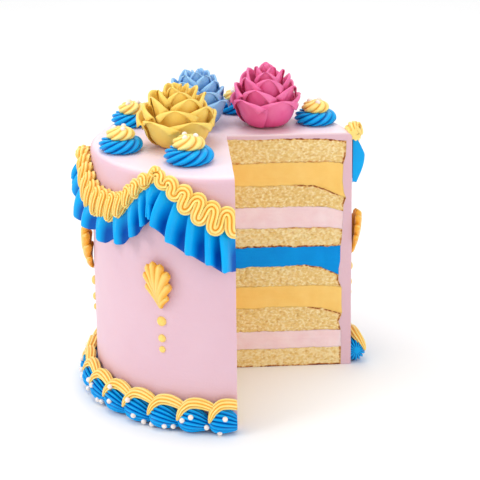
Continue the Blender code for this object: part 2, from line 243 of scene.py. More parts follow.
# A colour as a screen shows it, 0 to 255, made linear
def screen(red, green, blue):
    linear = []
    for value in (red / 255, green / 255, blue / 255):
        linear.append(value / 12.92 if value <= 0.04045 else ((value + 0.055) / 1.055) ** 2.4)
    return (*linear, 1.0)


def setInputs(item, values):
    for name, value in values.items():
        item.inputs[name].default_value = value


def addNode(tree, kind, settings=None, **values):
    item = tree.nodes.new(kind)
    for name, value in (settings or {}).items():
        setattr(item, name, value)
    setInputs(item, values)
    return item


def newMaterial(name):
    material = bpy.data.materials.new(name)
    material.use_nodes = True
    tree = material.node_tree
    return material, tree, tree.nodes["Principled BSDF"]


def ownPlace(tree):
    return addNode(tree, "ShaderNodeTexCoord").outputs["Object"]


# Noise on the piece's own coordinates, which a mapping may stretch
def addNoise(tree, size, detail=3.0, stretch=(1, 1, 1)):
    mapping = addNode(tree, "ShaderNodeMapping", Scale=stretch)
    pattern = addNode(tree, "ShaderNodeTexNoise", Scale=1 / (size * mm), Detail=detail)
    tree.links.new(ownPlace(tree), mapping.inputs["Vector"])
    tree.links.new(mapping.outputs["Vector"], pattern.inputs["Vector"])
    return pattern.outputs["Fac"]


def addRamp(tree, source, low, high):
    ramp = addNode(tree, "ShaderNodeMapRange", **{"From Min": low, "From Max": high})
    tree.links.new(source, ramp.inputs["Value"])
    return ramp.outputs["Result"]


def addMix(tree, factor, first, second):
    mix = addNode(tree, "ShaderNodeMix", {"data_type": "RGBA"})
    tree.links.new(factor, mix.inputs["Factor"])
    for socket, colour in ((mix.inputs["A"], first), (mix.inputs["B"], second)):
        if isinstance(colour, tuple):
            socket.default_value = colour
        else:
            tree.links.new(colour, socket)
    return mix.outputs["Result"]


def addBump(tree, shader, height, depth):
    bump = addNode(tree, "ShaderNodeBump", Strength=1, Distance=depth * mm)
    tree.links.new(height, bump.inputs["Height"])
    if shader.inputs["Normal"].is_linked:
        tree.links.new(shader.inputs["Normal"].links[0].from_socket, bump.inputs["Normal"])
    tree.links.new(bump.outputs["Normal"], shader.inputs["Normal"])


# A piece's own attribute, kept on its points
def addMark(tree, name):
    return addNode(tree, "ShaderNodeAttribute", {"attribute_name": name}).outputs["Fac"]


sugar = {"patch": 8, "rough": 0.40, "gloss": 0.3, "glow": 0.2, "grain": 0.08}
creams = {
    "pinkIcing": {"colour": screen(226, 191, 203), "shade": screen(223, 185, 198), "patch": 60,
                  # top: a paler colour painted over the top and rim, a painted highlight
                  "top": screen(245, 223, 229),
                  "rough": 0.42, "gloss": 0.4, "glow": 0.22, "grain": 0.12, "streak": 0.10},
    "pinkCream": {"colour": screen(247, 220, 222), "shade": screen(242, 207, 211), "patch": 9,
                  "rough": 0.45, "gloss": 0.4, "glow": 0.18, "grain": 0.15, "streak": 0.30},
    "yellowCream": {"colour": screen(252, 208, 118), "shade": screen(248, 199, 104), "patch": 12,
                    "rough": 0.45, "gloss": 0.3, "glow": 0.18, "grain": 0.15, "streak": 0.30},
    "blueCream": {"colour": screen(0, 150, 232), "shade": screen(0, 142, 226), "patch": 10,
                  "rough": 0.55, "gloss": 0.1, "glow": 0.0, "grain": 0.12, "streak": 0.30},
    "bluePiping": {"colour": screen(0, 176, 246), "shade": screen(0, 165, 238), "patch": 14,
                   # deep: painted shade for the grooves between ridges and the hollows of the pleats
                   "deepTintAndShade": screen(0, 88, 181),
                   "rough": 0.32, "gloss": 0.18, "glow": 0.03, "grain": 0.15},
    "yellowPiping": {"colour": screen(255, 233, 146), "shade": screen(255, 225, 122), "patch": 12,
                     # deep: painted shade for the grooves between the ridges
                     "deepTintAndShade": screen(247, 174, 46),
                     "rough": 0.33, "gloss": 0.5, "glow": 0.16, "grain": 0.12},
    "yellowSugar": {"colour": screen(255, 220, 116), "shade": screen(252, 210, 100),
                    # deep: the petals' deeper tint at their foot, partly their own colour and partly
                    # painted shade where they overlap
                    "deepTintAndShade": screen(248, 190, 78), **sugar},
    "blueSugar": {"colour": screen(160, 206, 244), "shade": screen(138, 192, 240),
                  "deepTintAndShade": screen(80, 146, 216), **sugar},
    "pinkSugar": {"colour": screen(244, 126, 176), "shade": screen(238, 102, 160),
                  "deepTintAndShade": screen(208, 44, 116), **sugar},
}


# Buttercream and sugar paste: a little light goes in, with soft patches and fine grain; where a piece is
# marked hollow a darker colour is mixed in as painted shade, and the icing's top is painted paler as a
# painted highlight
def makeCream(name):
    values = creams[name]
    material, tree, shader = newMaterial(name)
    patches = addRamp(tree, addNoise(tree, values["patch"]), 0.3, 0.7)
    colour = addMix(tree, patches, values["colour"], values["shade"])
    if "deepTintAndShade" in values:
        # painted shade: the deep colour is mixed in where the piece is marked hollow
        colour = addMix(tree, addRamp(tree, addMark(tree, "hollow"), 0.08, 0.9), colour, values["deepTintAndShade"])
    # painted highlight: the icing turns paler towards the top, where the light falls most
    if "top" in values:
        spot = addNode(tree, "ShaderNodeSeparateXYZ")
        tree.links.new(ownPlace(tree), spot.inputs["Vector"])
        high = addRamp(tree, spot.outputs["Z"], (cake["height"] - 1.8) * mm, cake["height"] * mm)
        colour = addMix(tree, high, colour, values["top"])
    tree.links.new(colour, shader.inputs["Base Color"])
    setInputs(shader, {
        "Roughness": values["rough"], "Specular IOR Level": values["gloss"],
        "Subsurface Weight": values["glow"], "Subsurface Radius": (1.0, 0.7, 0.5),
        "Subsurface Scale": 3 * mm})
    addBump(tree, shader, addNoise(tree, 1.4, 4), values["grain"])
    if "streak" in values:
        addBump(tree, shader, addNoise(tree, 4, 3, (0.12, 0.12, 2.2)), values["streak"])
    return material


sponge = {
    "crumb": screen(233, 197, 121),
    "fleck": screen(252, 233, 182),
    "pitShade": screen(222, 178, 102),
    "toast": screen(206, 140, 70),
    "crust": screen(136, 64, 28),
    "fleckSize": 2.2,
    "bubbleSize": 2.3,
    "rough": 0.85,
}


# Open crumb: pale flecks, bubbles and sunk pits painted darker as painted shade, browned where the crust
# shows
def makeSponge():
    material, tree, shader = newMaterial("spongeCrumb")
    flecks = addRamp(tree, addNoise(tree, sponge["fleckSize"], 5, (1, 1, 1.4)), 0.44, 0.68)
    colour = addMix(tree, flecks, sponge["crumb"], sponge["fleck"])
    bubbles = addNode(tree, "ShaderNodeTexVoronoi", Scale=1 / (sponge["bubbleSize"] * mm))
    tree.links.new(ownPlace(tree), bubbles.inputs["Vector"])
    # painted shade: darker in the middle of each bubble and where the crumb is sunk
    colour = addMix(tree, addRamp(tree, bubbles.outputs["Distance"], 0.38, -0.45), colour, sponge["pitShade"])
    colour = addMix(tree, addRamp(tree, addMark(tree, "relief"), -0.15, -0.85), colour, sponge["pitShade"])
    colour = addMix(tree, addMark(tree, "pale"), colour, sponge["fleck"])
    crust = addMark(tree, "crust")
    colour = addMix(tree, addRamp(tree, crust, 0.05, 0.45), colour, sponge["toast"])
    colour = addMix(tree, addRamp(tree, crust, 0.45, 0.85), colour, sponge["crust"])
    tree.links.new(colour, shader.inputs["Base Color"])
    setInputs(shader, {
        "Roughness": sponge["rough"], "Subsurface Weight": 0.1,
        "Subsurface Radius": (1.0, 0.6, 0.3), "Subsurface Scale": 2 * mm})
    addBump(tree, shader, addNoise(tree, 1.1, 3), 0.3)
    addBump(tree, shader, bubbles.outputs["Distance"], 0.2)
    return material


pearlFinish = {"colour": screen(252, 243, 236), "shade": screen(244, 226, 214), "rough": 0.25}


def makePearl():
    material, tree, shader = newMaterial("sugarPearl")
    patches = addRamp(tree, addNoise(tree, 2.5), 0.35, 0.65)
    tree.links.new(addMix(tree, patches, pearlFinish["colour"], pearlFinish["shade"]),
                   shader.inputs["Base Color"])
    setInputs(shader, {"Roughness": pearlFinish["rough"], "Coat Weight": 0.5, "Coat Roughness": 0.15})
    return material


finishes = {name: makeCream(name) for name in creams}
finishes["sponge"] = makeSponge()
finishes["pearl"] = makePearl()
print("materials ready")


# Layers of sponge and cream


# Faces between the layers, from the foot up: (radius, height) pairs from the centre out
layers = {
    "faces": [
        [(0, 0), (90, 0)],
        [(0, 14.8), (90, 14.8)],
        [(0, 29.5), (90, 29.5)],
        [(0, 49.5), (66, 49.3), (80, 46.5), (90, 41.8)],
        [(0, 67.0), (80, 66.6), (90, 64.6)],
        [(0, 82.5), (64, 83.4), (80, 81.0), (90, 73.5)],
        [(0, 98.3), (90, 98.0)],
        [(0, 114.0), (75, 113.6), (90, 111.4)],
        [(0, 130.5), (76, 130.3), (90, 125.2)],
        [(0, 147.5), (68, 147.3), (80, 142.4), (90, 134.2)],
        [(0, 165.0), (80, 164.6), (90, 162.6)],
        [(0, 183.6), (74, 183.0), (90, 180.6)],
    ],
    "nodes": [
        "sponge_layer_1", "filling_1_pink", "sponge_layer_2", "filling_2_yellow",
        "sponge_layer_3", "filling_3_blue", "sponge_layer_4", "filling_4_pink",
        "sponge_layer_5", "filling_5_yellow", "sponge_layer_6",
    ],
    # how far out the layers reach at each height
    "ends": [
        (0, 90.2), (15, 90.3), (30, 89.8), (36, 88.2), (43, 90.8), (50, 90.3), (64, 90.2),
        (70, 87.6), (80, 87.8), (86, 88.8), (98, 88.8), (104, 89.8), (122, 90.5), (131, 90.8),
        (136, 92.6), (141, 90.8), (150, 89.8), (163, 90.2), (169, 92.0), (187, 92.4),
    ],
    "radius": 90,
    "gap": 0.04,
    "wave": 0.7,          # slow rise and fall of the faces
    "ragged": 0.75,       # their ragged edge
    "soften": 5.0,        # rounds the bends of the faces
    "crumbStep": 0.55,    # mesh size on the cut faces of sponge, and of cream
    "creamStep": 1.1,
    "arcStep": 4.0,
    "heart": Vector((-25, 30)),
}
# Browning of each sponge: along its top, its underside and its outer end, the radius from
# which the top is brown, and how pale its crumb is
crusts = {
    "sponge_layer_1": (0.0, 0.9, 0.8, 95, 0.5),
    "sponge_layer_2": (1.0, 0.2, 1.0, 58, 0.05),
    "sponge_layer_3": (1.0, 0.1, 1.0, 50, 0.1),
    "sponge_layer_4": (0.4, 1.0, 0.8, 40, 0.45),
    "sponge_layer_5": (1.0, 0.1, 0.9, 50, 0.0),
    "sponge_layer_6": (1.0, 0.3, 1.0, 24, 0.15),
}


def alongProfile(profile, place):
    place = clamp(place, profile[0][0], profile[-1][0])
    for (near, low), (far, high) in zip(profile, profile[1:]):
        if place <= far:
            return low + (high - low) * (place - near) / (far - near)
    return profile[-1][1]


def faceHeight(number, x, y):
    if number == 0:
        return 0.0
    profile, radius, soften = layers["faces"][number], math.hypot(x, y), layers["soften"]
    height = sum(alongProfile(profile, radius + shift) for shift in (-soften, 0, soften)) / 3
    spot = Vector((x, y, number * 31))
    height += layers["wave"] * noise.noise(spot / 17)
    return height + layers["ragged"] * noise.noise(spot / 2.6)


# The cake's outline from above at one radius: along both cut faces, then round the wall.
# Gives a place and the direction that faces out there.
def outlinePoint(column, counts, radius):
    toApex, toRight, roundWall = counts
    cutX, cutY = cake["cutX"], cake["cutY"]
    frontEnd, rightEnd = -math.sqrt(radius ** 2 - cutX ** 2), math.sqrt(radius ** 2 - cutY ** 2)
    if column < toApex:
        return Vector((cutX, frontEnd + (cutY - frontEnd) * column / toApex)), Vector((1, 0))
    column -= toApex
    if column == 0:
        return Vector((cutX, cutY)), Vector((1, -1))
    if column < toRight:
        return Vector((cutX + (rightEnd - cutX) * column / toRight, cutY)), Vector((0, -1))
    start, end = math.asin(cutY / radius), math.tau - math.acos(cutX / radius)
    angle = start + (end - start) * (column - toRight) / roundWall
    return Vector((radius * math.cos(angle), radius * math.sin(angle))), None


def outlineCounts(radius, faceStep, arcStep):
    return [round((radius + cake["cutY"]) / faceStep), round((radius - cake["cutX"]) / faceStep),
            round(math.radians(cake["frontEnd"] - cake["rightEnd"]) * radius / arcStep)]


def crumbRelief(spot):
    stretched = Vector((spot.x, spot.y, spot.z * 1.6))
    lumps = 0.55 * noise.noise(stretched / 3.6) + 0.45 * noise.noise(stretched / 1.5)
    pits = max(noise.noise(stretched / 2.2 + Vector((9, 4, 2))) - 0.18, 0)
    return 0.6 * lumps - 1.5 * pits - 0.15


# Streaks left by the knife, and upright smears towards the outer end
def creamRelief(spot):
    drag = noise.noise(Vector((spot.x / 34, spot.y / 34, spot.z / 1.5)))
    smear = noise.noise(Vector((spot.x / 5, spot.y / 5, spot.z / 24)))
    smear *= clamp((spot.xy.length - 56) / 12)
    return 0.18 * drag + 0.22 * noise.noise(spot / 9) + 0.4 * smear


def crustAt(name, spot, below, above):
    top, under, end, start, pale = crusts[name]
    radius = math.hypot(spot.x, spot.y)
    patch = 0.75 + 1.1 * noise.noise(spot / 4.5) + 1.1 * noise.noise(spot / 1.5)
    topLine = top * clamp(1.3 - below / 1.2) * clamp((radius - start) / 10)
    underLine = under * clamp(1.3 - above / 1.3)
    inward = alongProfile(layers["ends"], spot.z) - radius
    endLine = end * clamp(1.3 - inward / 1.5)
    brown = clamp(max(topLine, underLine, endLine) * patch)
    crumbs = noise.noise(spot / 3.2) + 0.6 * noise.noise(spot / 1.3)
    return brown, pale * clamp(0.45 + crumbs * 2.2)


# A closed body between two faces; the push and slack make the hollow that holds them all
def layerBody(lower, upper, step, relief, name=None, push=0.0, slack=None, foot=None):
    slack = -layers["gap"] if slack is None else slack
    counts = outlineCounts(layers["radius"], step, layers["arcStep"])
    thickness = layers["faces"][upper][0][1] - layers["faces"][lower][0][1]
    rise = round(thickness / step)
    rows = [(0, 0), (0.5, 0), (0.92, 0)] + [(1, k / rise) for k in range(rise + 1)]
    rows += [(0.92, 1), (0.5, 1), (0, 1)]
    marks = {}

    def place(column, row):
        shrink, share = rows[row]
        flat, facing = outlinePoint(column, counts, layers["radius"])
        spot = layers["heart"] + (flat - layers["heart"]) * shrink
        low = foot if foot is not None else faceHeight(lower, *spot) + (layers["gap"] if lower else 0)
        high = faceHeight(upper, *spot) + slack
        height = low + (high - low) * share
        radius = alongProfile(layers["ends"], height) + slack
        flat, facing = outlinePoint(column, counts, radius)
        flat = layers["heart"] + (flat - layers["heart"]) * shrink
        point = Vector((*flat, height))
        if facing and shrink == 1:
            depth = relief(point) if relief else 0
            if name:
                marks[(column, row)] = (depth, *crustAt(name, point, high - height, height - low))
            point += Vector((*facing, 0)) * (depth + push)
        return point

    columns = sum(counts)
    shape = bentGrid(columns, len(rows) - 1, place)
    if name:
        kept = [shape.verts.layers.float.new(mark) for mark in ("relief", "crust", "pale")]
        shape.verts.ensure_lookup_table()
        for index, vert in enumerate(shape.verts):
            row, column = divmod(index, columns + 1)
            for layer, value in zip(kept, marks.get((column % columns, row), (0, 0, 0))):
                vert[layer] = value
    return closeUp(shape)


for number, node in enumerate(layers["nodes"]):
    if node.startswith("sponge"):
        body = layerBody(number, number + 1, layers["crumbStep"], crumbRelief, node)
        addPiece(node + "_crumb", body, finishes["sponge"], [node])
    else:
        colour = node.split("_")[-1]
        body = layerBody(number, number + 1, layers["creamStep"], creamRelief)
        addPiece(node + "_cream", body, finishes[colour + "Cream"], [node])
print("layers ready")


# Icing coat


coat = {
    "faceStep": 1.2,
    "arcStep": 2.0,
    "riseStep": 2.5,
    "rimSteps": 8,
    "topRows": 22,
    "wallWave": 0.35,     # unevenness left by the smoother
    "topWave": 0.35,
    "faceWave": 0.25,
    "hollowStep": 0.9,
}


def coatBody():
    counts = outlineCounts(cake["footRadius"], coat["faceStep"], coat["arcStep"])
    rounding, straight = cake["rimRounding"], cake["height"] - cake["rimRounding"]
    rise = round(straight / coat["riseStep"])
    rows = [(0, cake["footRadius"], 0.0), (0.6, cake["footRadius"], 0.0)]
    rows += [(1, wallRadius(straight * k / rise), straight * k / rise) for k in range(rise + 1)]
    for k in range(1, coat["rimSteps"] + 1):
        lean = math.pi / 2 * k / coat["rimSteps"]
        rows.append((1, cake["shoulderRadius"] - rounding + rounding * math.cos(lean),
                     straight + rounding * math.sin(lean)))
    topRadius = cake["shoulderRadius"] - rounding
    for k in range(1, coat["topRows"] + 1):
        rows.append((1 - k / coat["topRows"], topRadius, cake["height"]))

    def place(column, row):
        shrink, radius, height = rows[row]
        flat, facing = outlinePoint(column, counts, radius)
        flat = layers["heart"] + (flat - layers["heart"]) * shrink
        point = Vector((*flat, height))
        if height == 0:
            return point
        slow = noise.noise(point / 38) + 0.4 * noise.noise(point / 13)
        if shrink < 1:
            point.z += coat["topWave"] * slow * min((1 - shrink) * 4, 1)
        elif facing is None:
            point += Vector((*flat, 0)).normalized() * coat["wallWave"] * slow
        else:
            point += Vector((*facing, 0)) * coat["faceWave"] * slow
        return point

    return closeUp(bentGrid(sum(counts), len(rows) - 1, place))


def makeCoat():
    body = layerBody(0, 11, coat["hollowStep"], None, push=5, slack=0.02, foot=-5.0)
    bmesh.ops.scale(body, vec=(mm, mm, mm), verts=body.verts)
    cutter = addObject("hollow", meshOf("hollow", body))
    piece = addPiece("icing", coatBody(), finishes["pinkIcing"], ["icing_coat"])
    cut = piece.modifiers.new("hollow", "BOOLEAN")
    cut.operation = "DIFFERENCE"
    cut.solver = "MANIFOLD"   # the exact solver leaves nothing of this pair
    cut.object = cutter
    applyModifiers(piece)
    bpy.data.objects.remove(cutter)
    piece.data.shade_smooth()
    piece.data.set_sharp_from_angle(angle=math.radians(38))


makeCoat()
print("icing ready")


# Swags


swags = {
    "atRight": 0,         # the swags that the cut faces end
    "atFront": 4,
    "start": 0,
    "end": 276,
    "peaks": [8, 65, 122, 180, 240],
    "lows": [36.5, 93.5, 151, 210, 272],
    "bends": [1.45, 1.45, 1.45, 1.45, 1.1],
    "garlandPeaks": [184.5, 184.5, 184.5, 178.0, 184.5, 184.5],
    "garlandLow": 157.5,
    "parts": 600,         # into which a swag is divided to measure its length
}


def swagRise(index, angle):
    low = math.radians(swags["lows"][index])
    reach = low - math.radians(swags["peaks"][index])
    share = min(abs(angle - low) / reach, 1) ** swags["bends"][index]
    return (1 - math.cos(math.pi * share)) / 2


def swagHeight(index, angle):
    side = index + (angle > math.radians(swags["lows"][index]))
    low, peak = swags["garlandLow"], swags["garlandPeaks"][side]
    return low + (peak - low) * swagRise(index, angle)


# Evenly spaced angles along a swag, and the distance travelled to each
def swagPath(index, step):
    ends = [swags["start"], *swags["peaks"][1:], swags["end"]]
    start, end, parts = math.radians(ends[index]), math.radians(ends[index + 1]), swags["parts"]
    fine = [start + (end - start) * k / parts for k in range(parts + 1)]
    travelled = [0.0]
    for a, b in zip(fine, fine[1:]):
        rise = swagHeight(index, b) - swagHeight(index, a)
        travelled.append(travelled[-1] + math.hypot((b - a) * cake["footRadius"], rise))
    count = round(travelled[-1] / step)
    path, k = [], 0
    for i in range(count + 1):
        goal = travelled[-1] * i / count
        while k < parts - 1 and travelled[k + 1] < goal:
            k += 1
        share = (goal - travelled[k]) / (travelled[k + 1] - travelled[k])
        path.append((fine[k] + (fine[k + 1] - fine[k]) * share, goal))
    return path


def swagSlope(index, angle):
    step = 0.01
    rise = swagHeight(index, angle + step) - swagHeight(index, angle - step)
    return rise / (2 * step * cake["footRadius"])


garland = {
    "step": 0.2,
    # length of a stroke up and one down, swing, radius, bulge of the bends, lean along the slope,
    # lean of each stroke, how pointed its lower end is, and how far each lies over the last; then
    # the share of the first three left at a peak, and the ridges of the rope and their depth.
    # The swag at the front cut has the zigzag, the others the strokes.
    "strokes": (9.6, 8.2, 4.2, 0.0, 0.15, 0.45, 0.25, 1.8),
    "strokesAtPeak": (0.95, 0.2, 1.1),
    "strokesStar": (9, 0.3),
    "zigzag": (11.4, 6.6, 4.3, 0.8, 0.6, 0.0, 0.0, 0.8),
    "zigzagAtPeak": (0.85, 0.12, 0.95),
    "zigzagStar": (7, 0.42),
    "phase": -1.25,
    "backing": 0.9,
    "bed": 1.5,           # the rope is this much thicker towards the wall
    "lift": 3.2,          # the lower ends lie further out, on the ruffle
    "uneven": 0.22,
}


# Yellow rope piped up and down along the swag
def garlandBody(index):
    kind = "zigzag" if index == swags["atFront"] else "strokes"
    centres, phase = [], garland["phase"]
    for angle, travel in swagPath(index, garland["step"]):
        pitch, swing, radius, bulge, lean, slant, point, overlap = garland[kind]
        rise = swagRise(index, angle) ** 2
        pitchLeft, swingLeft, radiusLeft = (1 - (1 - left) * rise for left in garland[kind + "AtPeak"])
        phase += math.tau * garland["step"] / (pitch * pitchLeft)
        down = (1 - math.cos(phase)) / 2
        wobble = 1 + garland["uneven"] * noise.noise(Vector((travel / 5, index * 7, 0)))
        swing *= swingLeft * wobble * (math.cos(phase) - 0.5 * point * math.cos(2 * phase))
        radius *= radiusLeft * (0.5 + 0.5 * wobble) * (1 - point * down)
        side = bulge * math.sin(2 * phase) + (slant - lean * swagSlope(index, angle)) * swing
        out = garland["backing"] + radius + overlap * math.sin(phase)
        out += garland["lift"] * down * (1 - rise)
        place = angle + side / cake["footRadius"], swagHeight(index, angle) + swing
        centre = onWall(*place, out)
        centres.append((centre, onWall(*place, out + 1) - centre, radius))
    section = [(across, up * (garland["bed"] if up < 0 else 1), low)
               for across, up, low in starSection(*garland[kind + "Star"])]
    return sweptRope(ropeStations(centres), section)


ruffle = {
    # fold by fold between two peaks: share of the way at its top and at its foot, and how high
    # its foot hangs; then those of the swag at the front cut, and the first at the right cut
    "folds": [(-0.03, -0.02, 161), (0.05, 0.003, 160), (0.11, 0.014, 151), (0.18, 0.15, 137),
              (0.33, 0.365, 137.5), (0.49, 0.575, 134), (0.652, 0.75, 136.5), (0.795, 0.867, 144.5),
              (0.875, 0.945, 154), (0.93, 0.998, 160), (1.03, 1.02, 161)],
    "frontFolds": [(-0.03, -0.02, 161), (0.09, 0.01, 155), (0.178, 0.115, 145),
                   (0.257, 0.240, 137), (0.350, 0.362, 130.5), (0.43, 0.458, 125),
                   (0.52, 0.568, 128), (0.652, 0.76, 131)],
    "rightFolds": [(-0.03, -0.02, 147), (0.05, 0.02, 152), (0.11, 0.08, 150), (0.18, 0.15, 148)],
    # one pleat from left to right: share of its width, and how far it stands out
    "pleat": [(0, 0), (-0.07, 0.30), (-0.17, 0.72), (-0.13, 0.97), (0.03, 1.0), (0.20, 0.82),
              (0.38, 0.46), (0.64, 0.12), (1, 0)],
    "frontWidth": 60,     # the angle that the shares of the front one are of
    "steps": 26,          # mesh columns across a pleat
    "rows": 26,
    "gap": 1.4,           # between the icing and the frill, at its top and at its ends
    "hollow": 5.0,
    "fold": 14.2,
    "farthest": 14.8,
    "thick": 1.1,
    # on most swags, and on the one at the front cut: length and place of a tip, the foot's rise
    # between two tips, how much deeper the hollows hang, how much narrower the crests are at
    # the foot, and the strength of the painted shade in the hollows
    "tip": (2.6, 1.05),
    "tipPlace": (0.2, -0.1),
    "sag": (0.4, 0.5),
    "level": (0.0, 4.6),
    "narrowing": (3.3, 1.7),
    "shading": (2.0, 1.1),
}


# Blue frill of pleats, each laid over the one before it, that fan out from under the garland
def ruffleBody(index):
    atFront = index == swags["atFront"]
    tipSize, tipPlace, sag, level, narrowing, shading = (
        ruffle[name][atFront] for name in ("tip", "tipPlace", "sag", "level", "narrowing", "shading"))
    folds = list(ruffle["frontFolds" if atFront else "folds"])
    if index == swags["atRight"]:
        folds[:4] = ruffle["rightFolds"]
    peaks, gap, last = swags["peaks"], ruffle["gap"], len(folds) - 1
    start = math.radians(peaks[index])
    width = math.radians(ruffle["frontWidth"] if atFront else peaks[index + 1] - peaks[index])

    # Across a pleat, how far it stands out there, and its shares between two folds
    def pleatAt(column, row):
        fold, part = divmod(column, ruffle["steps"])
        across, crest = smoothRow(ruffle["pleat"], part / ruffle["steps"])
        where = clamp(fold + across, 0, last)
        low = min(int(where), len(folds) - 2)
        shares = [a + (b - a) * (where - low) for a, b in zip(folds[low], folds[low + 1])]
        return fold, low, across, max(crest, 0) ** (0.4 + narrowing * row / ruffle["rows"]), shares

    def place(column, row):
        down = row / ruffle["rows"]
        fold, low, across, crest, shares = pleatAt(column, row)
        uneven = noise.noise(Vector((fold * 0.7 + index * 11, 0.5, 3)))
        upper, lower = start + width * min(shares[0], 1), start + width * shares[1]
        top = swagHeight(index, max(upper, start)) - 1
        tip = tipSize * max(1 - abs(across - tipPlace) / 0.28, 0) * (1 + uneven)
        broad = min((folds[low + 1][1] - folds[low][1]) / 0.08, 1)
        rise = sag * math.sin(math.pi * clamp(across))
        edge = shares[2] + (rise - tip) * broad + 0.8 * uneven - level * (1 - crest) * (across > 0)
        spread = math.sin(math.pi / 2 * down ** 0.8)
        fromEnd = min(column, ruffle["steps"] * last - column) / ruffle["steps"]
        inner = gap + ruffle["hollow"] * down * min(fromEnd * 2, 1)
        reach = (gap + (ruffle["fold"] - gap) * spread - inner) * (1 - 0.1 * abs(uneven))
        out = inner + reach * crest
        if index == swags["atRight"]:
            nearCut = max(1 - column / ruffle["steps"] / 4, 0)
            out = gap + (out - gap) * (1 - 1.5 * nearCut * max(down - 0.4, 0))
        sideways = 1 - (1 - down) ** 1.7
        height = top + (edge - top) * down
        return onWall(upper + (lower - upper) * sideways, height, min(out, ruffle["farthest"]))

    # painted shade in each pleat's hollow, stronger towards the foot
    def depth(column, row):
        shown = column % ruffle["steps"] > 0.4 * ruffle["steps"]
        low = min((1 - pleatAt(column, row)[3]) * shading, 1)
        return low * clamp(row / ruffle["rows"] * 1.8 - 0.3, 0.15) * shown

    return bentGrid(ruffle["steps"] * last, ruffle["rows"], place, wrapped=False, depth=depth)


for index in range(len(swags["peaks"])):
    rope, frill, number = garlandBody(index), ruffleBody(index), index + 1
    if index == swags["atRight"]:
        sliceAtRight(rope)
        sliceAtRight(frill, cap=False)
    if index == swags["atFront"]:
        sliceAtFront(rope)
        sliceAtFront(frill, cap=False)
    addPiping("garland_%d_piping" % number, rope, "yellow", "garland_swag_%d" % number, sharp=60)
    piece = addPiping("ruffle_%d_piping" % number, frill, "blue", "ruffle_swag_%d" % number)
    thicken(piece, ruffle["thick"], 0)
print("swags ready")


# Fans and dots on the wall


fan = {
    "foot": 89.5,
    # end of each rib: sideways and up from the fan's foot, how far it stands out, and its radius
    "ribs": [(-11.2, 17.0, 2.0, 2.2), (-11.8, 26.0, 3.0, 2.4), (-8.4, 33.0, 4.2, 2.7),
             (-3.4, 36.0, 5.0, 2.8), (2.8, 35.0, 5.2, 3.0), (7.8, 29.5, 4.6, 3.4),
             (8.8, 20.5, 3.6, 3.3), (6.6, 10.5, 2.4, 2.4)],
    "stem": 1.5,
    "steps": 22,
    "dots": [(79.5, 7.3, 2.6), (66.5, 6.0, 2.1), (58.0, 5.0, 1.7)],
    "dotShade": 0.35,    # painted shade laid over the whole of each dot, as they sit in softer light
}


# Section of a rib: a narrow crest on broad flanks; the third number marks the flanks for painted shade
ribSection = []
for i in range(20):
    turn = math.tau * i / 20
    up = max(math.sin(turn), 0)
    ribSection.append((1.15 * math.cos(turn), 0.8 * math.sin(turn) + 0.35 * up ** 6,
                       min(0.35 + 1.2 * (1 - up) ** 0.7, 0.95)))


# A fan of ribs that leave one narrow foot and bend outwards
def fanBody(peak):
    whole = bmesh.new()
    for across, up, out, radius in fan["ribs"]:
        points = []
        for k in range(fan["steps"] + 1):
            share = k / fan["steps"]
            sideways = across * (0.25 * share + 0.75 * share ** 2.2)
            height = fan["foot"] + up * share ** (0.9 if abs(across) > 7 else 1)
            angle = peak + sideways / cake["footRadius"]
            size = fan["stem"] + (radius - fan["stem"]) * math.sin(math.pi / 2 * share)
            size *= math.sqrt(max(1 - max((share - 0.9) / 0.1, 0) ** 2, 0.01))
            size *= min(0.4 + share * 6, 1)
            rise = 1.0 + out * math.sin(math.pi / 2 * min(share * 1.5, 1)) - 0.8 * share ** 4
            centre = onWall(angle, height, rise)
            points.append((centre, onWall(angle, height, rise + 1) - centre, size))
        joinInto(whole, sweptRope(ropeStations(points), ribSection))
    return whole


def dotBody():
    shape = bmesh.new()
    for peak in swags["peaks"]:
        for height, width, depth in fan["dots"]:
            dot = bmesh.new()
            bmesh.ops.create_uvsphere(dot, u_segments=20, v_segments=12, radius=1)
            hollows = dot.verts.layers.float.new("hollow")
            angle = math.radians(peak)
            middle = onWall(angle, height, 0)
            out, side = outwards(angle), Vector((-math.sin(angle), math.cos(angle), 0))
            for vert in dot.verts:
                x, y, z = vert.co
                vert.co = middle + out * z * depth + side * x * width / 2 + Vector((0, 0, y * width / 2))
                # painted shade over the whole dot
                vert[hollows] = fan["dotShade"]
            bmesh.ops.recalc_face_normals(dot, faces=dot.faces)
            joinInto(shape, dot)
    return shape


for number, peak in enumerate(swags["peaks"], 1):
    body = fanBody(math.radians(peak))
    addPiping("fan_%d_piping" % number, body, "yellow", "fan_%d" % number, sharp=50)
addPiping("wall_dots", dotBody(), "yellow", "icing_coat")
print("fans ready")


# Border at the foot


border = {
    "count": 22,
    "pitch": 12.2,
    "firstJoint": 261.2,
    # share of the pitch from a shell's left joint, height, distance out and radius
    "shell": [(-0.09, 10.8, 4.4, 1.5), (-0.03, 10.8, 4.6, 5.2), (0.10, 10.4, 4.7, 8.0),
              (0.30, 9.7, 4.7, 8.8), (0.54, 8.4, 4.4, 7.8), (0.76, 6.8, 4.0, 5.6),
              (0.94, 5.6, 3.6, 3.4), (1.06, 4.6, 3.4, 1.8)],
    "shellTall": 1.12,
    "shellStar": (16, 0.24),  # ridges of the rope and their depth
    "arch": [(-0.04, 10.5, 11.6, 0.7), (0.02, 14.2, 10.3, 2.3), (0.12, 18.4, 8.0, 3.4),
             (0.30, 21.6, 5.6, 4.1), (0.52, 22.4, 5.0, 4.2), (0.76, 21.8, 5.2, 4.0),
             (0.98, 20.4, 6.0, 3.5), (1.14, 18.4, 6.8, 2.6)],
    "archStar": (8, 0.30),
    "steps": 26,
    "nudge": 0.2,         # keeps the cut ends of two ropes apart
}
